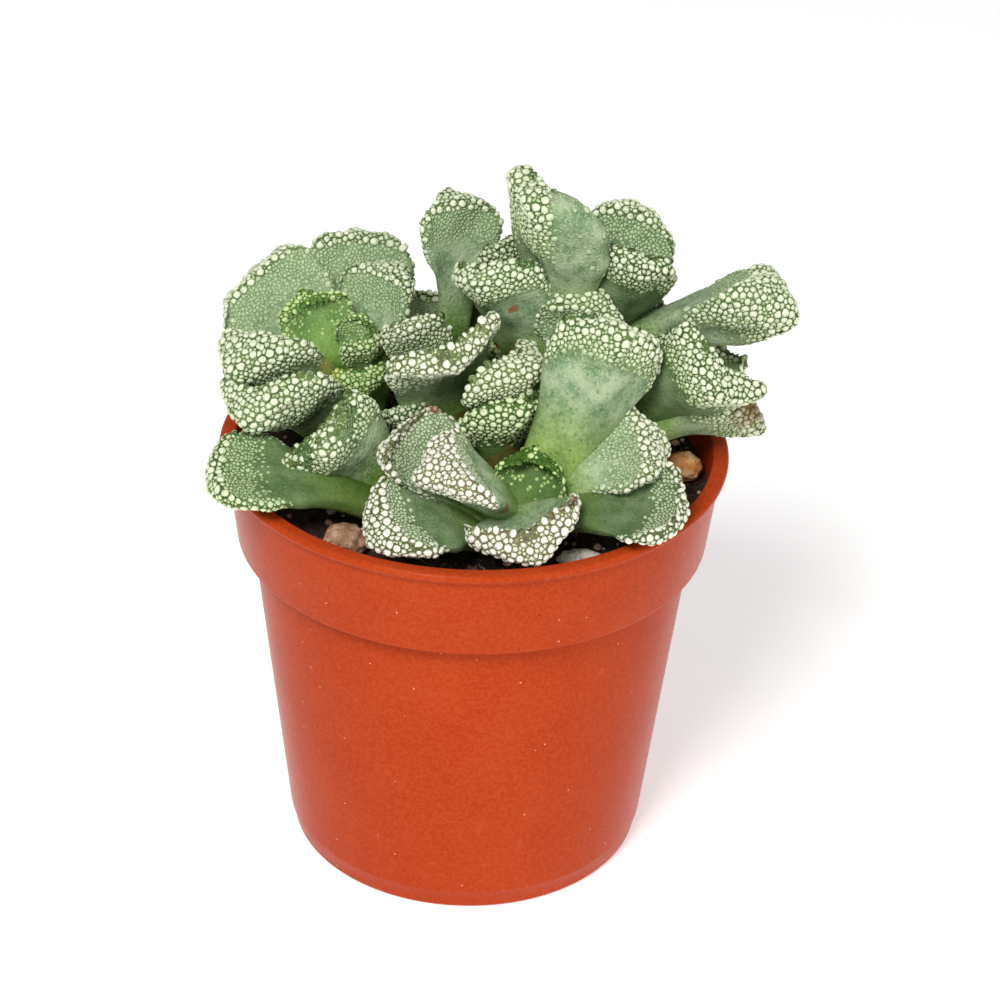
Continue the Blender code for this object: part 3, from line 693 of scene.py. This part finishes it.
def loft_faces(rings, sides):
    """Faces of a closed loft of rings, whose last ring is one point and whose first has a cap."""
    index = np.arange((rings - 1) * sides).reshape(rings - 1, sides)
    after = np.roll(index, -1, 1)
    quads = np.stack([index[:-1], after[:-1], after[1:], index[1:]], 2).reshape(-1, 4).tolist()
    end = (rings - 1) * sides
    fan = [(a, b, end) for a, b in zip(index[-1].tolist(), after[-1].tolist())]
    return quads + fan + [tuple(reversed(index[0].tolist()))]


def wart_density(flat):
    """How much of the skin the warts cover: all of the end, then less and less behind its rim."""
    back = flat["back"] - 0.35 * flat["margin"]
    under = smooth(1.10, 0.40, back)
    over = smooth(1.0, 0.2, back) * (1.0 - flat["plain"] * (1.0 - flat["margin"]))
    cover = np.where(flat["dome"] > 0, 1.0, under + (over - under) * flat["upper"])
    return cover * (1.0 - 0.97 * flat["bare"])


# Warts: low domes in three sizes, each a closed cap sunk a little into the skin. The largest are
# scattered first, near the rim, and smaller ones fill the room that is left. Each spreads until
# it nearly meets its neighbours, so that only thin grooves stay between them. A kind says how many
# places are tried, how close two warts may come as a share of their radii, how many sides they
# have, and their rings as shares of their radius and height.
WART_KINDS = (
    {"tries": 320, "spread": 0.98, "sides": 8, "profile": ((1.0, -0.3), (0.93, 0.42), (0.6, 0.86))},
    {"tries": 2600, "spread": 0.84, "sides": 7, "profile": ((1.0, -0.3), (0.88, 0.52))},
    {"tries": 2600, "spread": 0.86, "sides": 5, "profile": ((1.0, -0.3), (0.84, 0.58))},
)
WART_RISE = 0.72
WART_BIG = (0.43, 0.58)
WART_USUAL = 0.36
WART_FINE = 0.17
WART_UPPER = 0.22
WART_UPPER_FINE = 0.16
WART_MARGIN = 0.30
WART_SMALLEST = 0.12
GROOVE_HALF_WIDTH = 0.04
WART_REACH = (0.6, 1.45)


def at_spots(grid, row, column, down, along):
    """Values of a leaf's grid inside its cells, each spot a share down and along its own cell."""
    beyond = (column + 1) % grid.shape[1]
    first = grid[row, column] * (1 - along) + grid[row, beyond] * along
    last = grid[row + 1, column] * (1 - along) + grid[row + 1, beyond] * along
    return first * (1 - down) + last * down


def wart_places(points, flat, width, picker):
    """Picks the warts of a leaf, clear of one another.

    A row is a wart's kind, place, direction, radius, height share, whether it sits on the upper
    face, and how densely the skin there is covered.
    """
    normals = surface_normals(points)
    density = wart_density(flat)
    on_end = flat["dome"] > 0
    fall = smooth(0.0, 1.5, flat["back"] * (1.0 - 0.35 * flat["margin"]))
    under = WART_USUAL - (WART_USUAL - WART_FINE) * fall
    over = WART_UPPER - (WART_UPPER - WART_UPPER_FINE) * fall
    over = np.maximum(over, WART_MARGIN * flat["margin"])
    size = np.where(on_end, WART_USUAL, under + (over - under) * flat["upper"])
    scale = 0.55 + 0.45 * min(width / 12.0, 1.0)
    rim = np.where(on_end, np.exp(-np.square(flat["dome"] / 0.7)), smooth(0.3, 0.05, flat["back"]))
    rim = np.where(flat["upper"] > 0.5, flat["margin"] * smooth(1.2, 0.2, flat["back"]), rim)
    rim = rim * (1.0 - flat["bare"])
    ahead, beside = points[1:, :] - points[:-1, :], np.roll(points, -1, 1) - points
    area = np.linalg.norm(np.cross(ahead, beside[:-1]), axis=2)
    kept = np.zeros((sum(look["tries"] for look in WART_KINDS), 4))
    rows = []
    count = 0
    columns = points.shape[1]
    for kind, look in enumerate(WART_KINDS):
        tries = look["tries"]
        chance = (area * (rim if kind == 0 else density)[:-1]).ravel()
        cells = picker.choice(len(chance), tries, p=chance / chance.sum())
        spots = (cells // columns, cells % columns, *picker.uniform(0, 1, (2, tries, 1)))
        places, ways = at_spots(points, *spots), at_spots(normals, *spots)
        sizes, thin, flatness = (at_spots(grid[..., None], *spots)[:, 0]
                                 for grid in (size, density, flat["upper"]))
        if kind == 0:
            sizes = picker.uniform(*WART_BIG, tries) * (0.75 + 0.25 * (sizes > 0.3))
        else:
            sizes = sizes * (picker.uniform(0.85, 1.15, tries) if kind == 1
                             else picker.uniform(0.5, 0.8, tries))
        sizes = sizes * scale
        tall = WART_RISE * (1.0 - 0.45 * flatness) * (0.5 + 0.5 * thin)
        keep = (sizes > WART_SMALLEST) & (picker.uniform(0, 1, tries) < 0.2 + 0.8 * thin)
        for index in np.flatnonzero(keep):
            place, radius = places[index], sizes[index]
            near = np.square(kept[:count, :3] - place).sum(1)
            if (near < np.square(look["spread"] * (kept[:count, 3] + radius))).any():
                continue
            kept[count, :3] = place
            kept[count, 3] = radius
            rows.append((kind, *place, *ways[index], radius, tall[index], flatness[index],
                         thin[index]))
            count += 1
    return np.array(rows)


def wart_outlines(places, radii, first_axis, second_axis, turns, others):
    """How far each wart spreads in each direction before it meets the groove to a neighbour."""
    apart = others[None, :, 1:4] - places[:, None]
    flat_x = (apart * first_axis[:, None]).sum(2)
    flat_y = (apart * second_axis[:, None]).sum(2)
    distance = np.sqrt(np.square(apart).sum(2))
    near = (distance > 1e-6) & (distance < 2.2 * (radii[:, None] + others[None, :, 7]))
    distance = np.where(near, distance, 1e9)
    border = (distance ** 2 + radii[:, None] ** 2 - others[None, :, 7] ** 2) / (2 * distance)
    heading = np.arctan2(flat_y, flat_x)
    lean = np.cos(turns[None, :, None] - heading[:, None, :])
    reach = np.where(near[:, None, :] & (lean > 0.15), border[:, None, :] / np.maximum(lean, 0.15),
                     1e9).min(2) - GROOVE_HALF_WIDTH
    return np.clip(reach, WART_REACH[0] * radii[:, None], WART_REACH[1] * radii[:, None])


def wart_meshes(rows, picker):
    """Turns rows of warts into closed domes.

    Also gives each point's height share, its paleness, and whether it is on the upper face.
    """
    points, faces, lift, pale, bed = [], [], [], [], []
    first = 0
    for kind, look in enumerate(WART_KINDS):
        chosen = rows[rows[:, 0] == kind]
        count, sides, profile = len(chosen), look["sides"], look["profile"]
        if not count:
            continue
        turns = np.arange(sides) * math.tau / sides
        places, ways, radii = chosen[:, 1:4], chosen[:, 4:7], chosen[:, 7]
        ways = ways / np.linalg.norm(ways, axis=1, keepdims=True)
        helper = np.where(np.abs(ways[:, 2:3]) < 0.8, (0, 0, 1.0), (1.0, 0, 0))
        side_axis = np.cross(ways, helper)
        side_axis /= np.linalg.norm(side_axis, axis=1, keepdims=True)
        spin = picker.uniform(0, math.tau, (count, 1))
        first_axis = side_axis * np.cos(spin) + np.cross(ways, side_axis) * np.sin(spin)
        second_axis = np.cross(ways, first_axis)
        spreads = wart_outlines(places, radii, first_axis, second_axis, turns, rows)
        outward = (first_axis[:, None] * np.cos(turns)[None, :, None]
                   + second_axis[:, None] * np.sin(turns)[None, :, None]) * spreads[..., None]
        tall = (radii * chosen[:, 8] * picker.uniform(0.9, 1.1, count))[:, None]
        rings = [places[:, None] + outward * share + (ways * tall)[:, None] * height
                 for share, height in profile]
        crowns = (places + ways * tall)[:, None]
        made = np.concatenate([*rings, crowns], 1)
        points.append(made.reshape(-1, 3))
        bands, size = len(profile), made.shape[1]
        index = np.arange(bands * sides).reshape(bands, sides)
        after = np.roll(index, -1, 1)
        quads = np.stack([index[:-1], after[:-1], after[1:], index[1:]], 2).reshape(-1, 4)
        fans = np.stack([index[-1], after[-1], np.full(sides, size - 1)], 1)
        starts = (first + np.arange(count) * size)[:, None, None]
        faces += (starts + quads[None]).reshape(-1, 4).tolist()
        faces += (starts + fans[None]).reshape(-1, 3).tolist()
        faces += (starts[:, 0] + index[0][::-1][None]).tolist()
        heights = np.concatenate([np.repeat([height for _, height in profile], sides), [1.0]])
        lift.append(np.tile(np.clip(heights, 0, 1), count))
        light = smooth(0.10, 0.48, radii) - 0.25 * chosen[:, 9] + picker.uniform(-0.12, 0.12, count)
        light *= 0.4 + 0.6 * chosen[:, 10]
        pale.append(np.repeat(np.clip(light, 0, 1), size))
        bed.append(np.repeat(chosen[:, 9], size))
        first += count * size
    return (np.concatenate(points), faces, np.concatenate(lift), np.concatenate(pale),
            np.concatenate(bed))


def per_point(values):
    """One value for each point of a leaf's mesh, where the grid's last ring is a single point."""
    return np.concatenate([values[:-1].ravel(), values[-1, :1]])


def make_head(name, number):
    """Builds one head: its stem, its leaves and their warts, as one piece of closed shells."""
    stem, leaves = HEADS[name]
    picker = np.random.default_rng(100 + number)
    points, faces = [], []
    traits = {trait: [] for trait in ("zone", "along", "lift", "pale", "young", "frost", "bark",
                                      "over", "dark")}
    total = 0

    def add(new_points, new_faces, **values):
        nonlocal total
        points.append(new_points)
        faces.extend([tuple(i + total for i in face) for face in new_faces])
        total += len(new_points)
        for trait, stored in traits.items():
            value = values.get(trait, 0.0)
            stored.append(np.broadcast_to(value, len(new_points)))

    x, y, radius, top = stem
    steps = np.linspace(0.0, 1.0, STEM_RINGS)
    turns = np.arange(STEM_SIDES) * math.tau / STEM_SIDES
    rings = np.array([[(x + radius * (1 - (1 - STEM_TAPER) * s) * math.cos(a),
                        y + radius * (1 - (1 - STEM_TAPER) * s) * math.sin(a),
                        STEM_FOOT + (top - STEM_FOOT) * s) for a in turns] for s in steps])
    rings[1:, :, :2] += (0.25 * ripple(rings[1:], 40 + number, 2.4))[..., None] * np.stack(
        [np.cos(turns), np.sin(turns)], 1)
    shaft = np.concatenate([rings.reshape(-1, 3), [(x, y, top + 0.4)]])
    add(shaft, loft_faces(STEM_RINGS + 1, STEM_SIDES), bark=1.0)

    for index, leaf in enumerate(leaves):
        width, form = leaf[3], leaf[4]
        look = {trait: form.get(trait, 0.0) for trait in ("young", "frost", "dark")}
        grid, flat = leaf_surface(leaf, 1000 * number + index)
        body = np.concatenate([grid[:-1].reshape(-1, 3), grid[-1:].mean(1)])
        add(body, loft_faces(len(grid), LEAF_SIDES), zone=per_point(wart_density(flat)),
            along=per_point(flat["share"]), over=per_point(flat["upper"]), **look)
        warts = wart_places(grid, flat, width, picker)
        dots, links, lift, pale, bed = wart_meshes(warts, picker)
        add(dots, links, zone=1.0, along=1.0, lift=lift, pale=pale, over=bed, **look)

    joined = {trait: np.concatenate(stored) for trait, stored in traits.items()}
    return mesh_piece(name + "_leaves", np.concatenate(points), faces, joined)


# Scars: old bruises, a yellowed leaf base and a dried leaf tip. Each is a place, a reach, a
# strength and a colour.
SCARS = (
    ((-5.1, -11.0, 67.9), 0.9, 0.8, (150, 84, 52)),
    ((4.4, 0.3, 76.0), 0.8, 0.8, (160, 84, 40)),
    ((-18.6, -0.9, 68.0), 2.2, 0.6, (196, 184, 66)),
    ((4.1, -23.2, 60.9), 1.2, 0.8, (112, 72, 40)),
    ((12.1, -23.7, 63.0), 1.1, 0.8, (120, 78, 44)),
    ((34.6, -4.5, 66.5), 4.2, 0.75, (136, 92, 48)),
)

# Leaf skin: green at the base and frosted grey-green above, with fine pimples, dark dots and soft
# blotches. The green at the base is deeper partly as painted shade of the crowded rosette. It
# darkens in the grooves between the warts, and each wart pales from foot to crown.
leaf = Finish("warty leaf skin")
zone, along, lift = leaf.trait("zone"), leaf.trait("along"), leaf.trait("lift")
pale, young, frost = leaf.trait("pale"), leaf.trait("young"), leaf.trait("frost")
bark, over, dark = leaf.trait("bark"), leaf.trait("over"), leaf.trait("dark")
bloom = leaf.cloud(2.2, 5.0).rise(0.3, 0.7)
blotch = leaf.cloud(5.0, 3.0).rise(0.35, 0.65)
dot = leaf.cells(0.75).rise(0.34, 0.16) * leaf.chance(0.75).rise(0.30, 0.45)
bead = leaf.cells(0.42).rise(0.46, 0.20)
grain = leaf.cloud(0.4, 3.0).rise(0.42, 0.62)
# The base colour is the leaf's own green, made deeper as painted shade where the leaf sinks into
# the rosette
base_skin_and_shade = leaf.mix(blotch, paint(88, 124, 40), paint(142, 168, 86))
high_skin = leaf.mix(bloom, paint(108, 138, 102), paint(170, 186, 152))
skin = leaf.mix(along.rise(0.25, 0.70), base_skin_and_shade, high_skin)
skin = leaf.mix(grain * 0.16, skin, paint(212, 226, 176))
skin = leaf.mix(bead * along.rise(0.35, 0.85) * 0.45, skin, paint(198, 214, 172))
fresh = leaf.mix(blotch, paint(84, 130, 44), paint(124, 162, 72))
fresh = leaf.mix(bead * 0.35, fresh, paint(160, 196, 98))
skin = leaf.mix(young * 0.85, skin, fresh)
skin = leaf.mix(dot * 0.45, skin, paint(66, 96, 44))
# dark: deep green skin, partly painted shade on leaves that lie in shadow in the clump
skin = leaf.mix(dark * 0.8, skin, paint(52, 78, 22))
groove = leaf.mix(leaf.cloud(3.0).rise(0.4, 0.6), paint(66, 96, 46), paint(98, 116, 60))
groove = leaf.mix(frost * 0.8, groove, paint(126, 108, 84))
groove = leaf.mix(young * 0.8, groove, paint(72, 118, 38))
groove = leaf.mix(over * 0.7, groove, paint(128, 154, 112))
pimple = leaf.mix(over * 0.5, paint(172, 190, 132), paint(158, 178, 142))
pimple = leaf.mix(young * 0.6, pimple, paint(104, 146, 60))
floor_skin = leaf.mix(bead, groove, pimple)
# dark also deepens the skin between the warts, partly as painted shade
floor_skin = leaf.mix(dark * 0.55, floor_skin, paint(46, 74, 22))
skin = leaf.mix(zone ** 0.5 * 0.9, skin, floor_skin)
knob = leaf.mix(pale, paint(166, 188, 136), paint(226, 233, 202))
knob = leaf.mix(over * 0.4, knob, paint(184, 200, 170))
knob = leaf.mix(frost * (0.2 + pale * 0.6), knob, paint(242, 236, 226))
knob = leaf.mix(young * 0.6, knob, paint(188, 214, 116))
skin = leaf.mix(lift.rise(0.05, 0.62), skin, knob)
for place, reach, strength, colour in SCARS:
    away = leaf.node("VectorMath", {"operation": "DISTANCE"},
                     {0: leaf.place, 1: [value * MM for value in place]}, 1)
    ragged = away * (1.0 / (reach * MM)) + leaf.cloud(reach * 0.7, 4.0) - 0.5
    skin = leaf.mix(ragged.rise(1.15, 0.35) * strength, skin, paint(*colour))
husk = leaf.mix(leaf.cloud(1.0, 4.0), paint(62, 58, 26), paint(104, 100, 48))
skin = leaf.mix(bark, skin, husk)
relief = bead * (zone * 0.6 + along * 0.3) + grain * 0.3 + dot * -0.1
leaf_finish = leaf.close(skin, 0.55, relief, 0.10, Specular_IOR_Level=0.12)

for number, name in enumerate(HEADS):
    dress(make_head(name, number), leaf_finish, "leaf", name)

# Studio: a white floor that glows faintly, a large soft lamp above and to the left, and a weaker
# one on the right. The camera looks down on the pot's front at about thirty degrees.
CAMERA_PLACE = (0.0, -386.1, 280.9)
CAMERA_PITCH = 31.06
CAMERA_YAW = 0.52
CAMERA_ROLL = 1.80
CAMERA_LENS = 126.0
CAMERA_SENSOR = 36.0
FLOOR_SIZE = 4.0
FLOOR_GLOW = 0.38
ROOM_LIGHT = 0.28

bpy.ops.mesh.primitive_plane_add(size=FLOOR_SIZE, location=(0.0, 0.6, 0.0))
floor = bpy.context.object
floor.name = "white_sweep"
paper = Finish("white paper")
floor.data.materials.append(paper.close(paint(252, 252, 251), 0.95, Emission_Strength=FLOOR_GLOW,
                                        Emission_Color=(1.0, 1.0, 1.0, 1.0)))


def lamp(name, place, size, power, aim=(0.0, 0.0, 55.0)):
    """Hangs a round soft lamp of the given size at a place, turned towards its aim."""
    light = bpy.data.lights.new(name, "AREA")
    light.shape = "DISK"
    light.size = size * MM
    light.energy = power
    made = bpy.data.objects.new(name, light)
    made.location = Vector(place) * MM
    made.rotation_euler = (Vector(aim) - Vector(place)).to_track_quat("-Z", "Y").to_euler()
    bpy.context.scene.collection.objects.link(made)


lamp("key lamp", (-175.0, -450.0, 590.0), 280.0, 4.4)
lamp("fill lamp", (460.0, -420.0, 360.0), 480.0, 1.5)

world = bpy.data.worlds.new("white room")
world.use_nodes = True
room = world.node_tree.nodes["Background"].inputs
room["Color"].default_value = (1.0, 1.0, 1.0, 1.0)
room["Strength"].default_value = ROOM_LIGHT
bpy.context.scene.world = world
bpy.context.scene.view_settings.view_transform = "Standard"

camera_data = bpy.data.cameras.new("camera")
camera_data.lens = CAMERA_LENS
camera_data.sensor_width = CAMERA_SENSOR
camera_data.clip_start = 0.01
camera_data.clip_end = 20.0
camera = bpy.data.objects.new("camera", camera_data)
turned_camera = (Matrix.Rotation(math.radians(-CAMERA_YAW), 4, "Z")
                 @ Matrix.Rotation(math.radians(90.0 - CAMERA_PITCH), 4, "X")
                 @ Matrix.Rotation(math.radians(CAMERA_ROLL), 4, "Z"))
camera.matrix_world = Matrix.Translation(Vector(CAMERA_PLACE) * MM) @ turned_camera
bpy.context.scene.collection.objects.link(camera)
bpy.context.scene.camera = camera
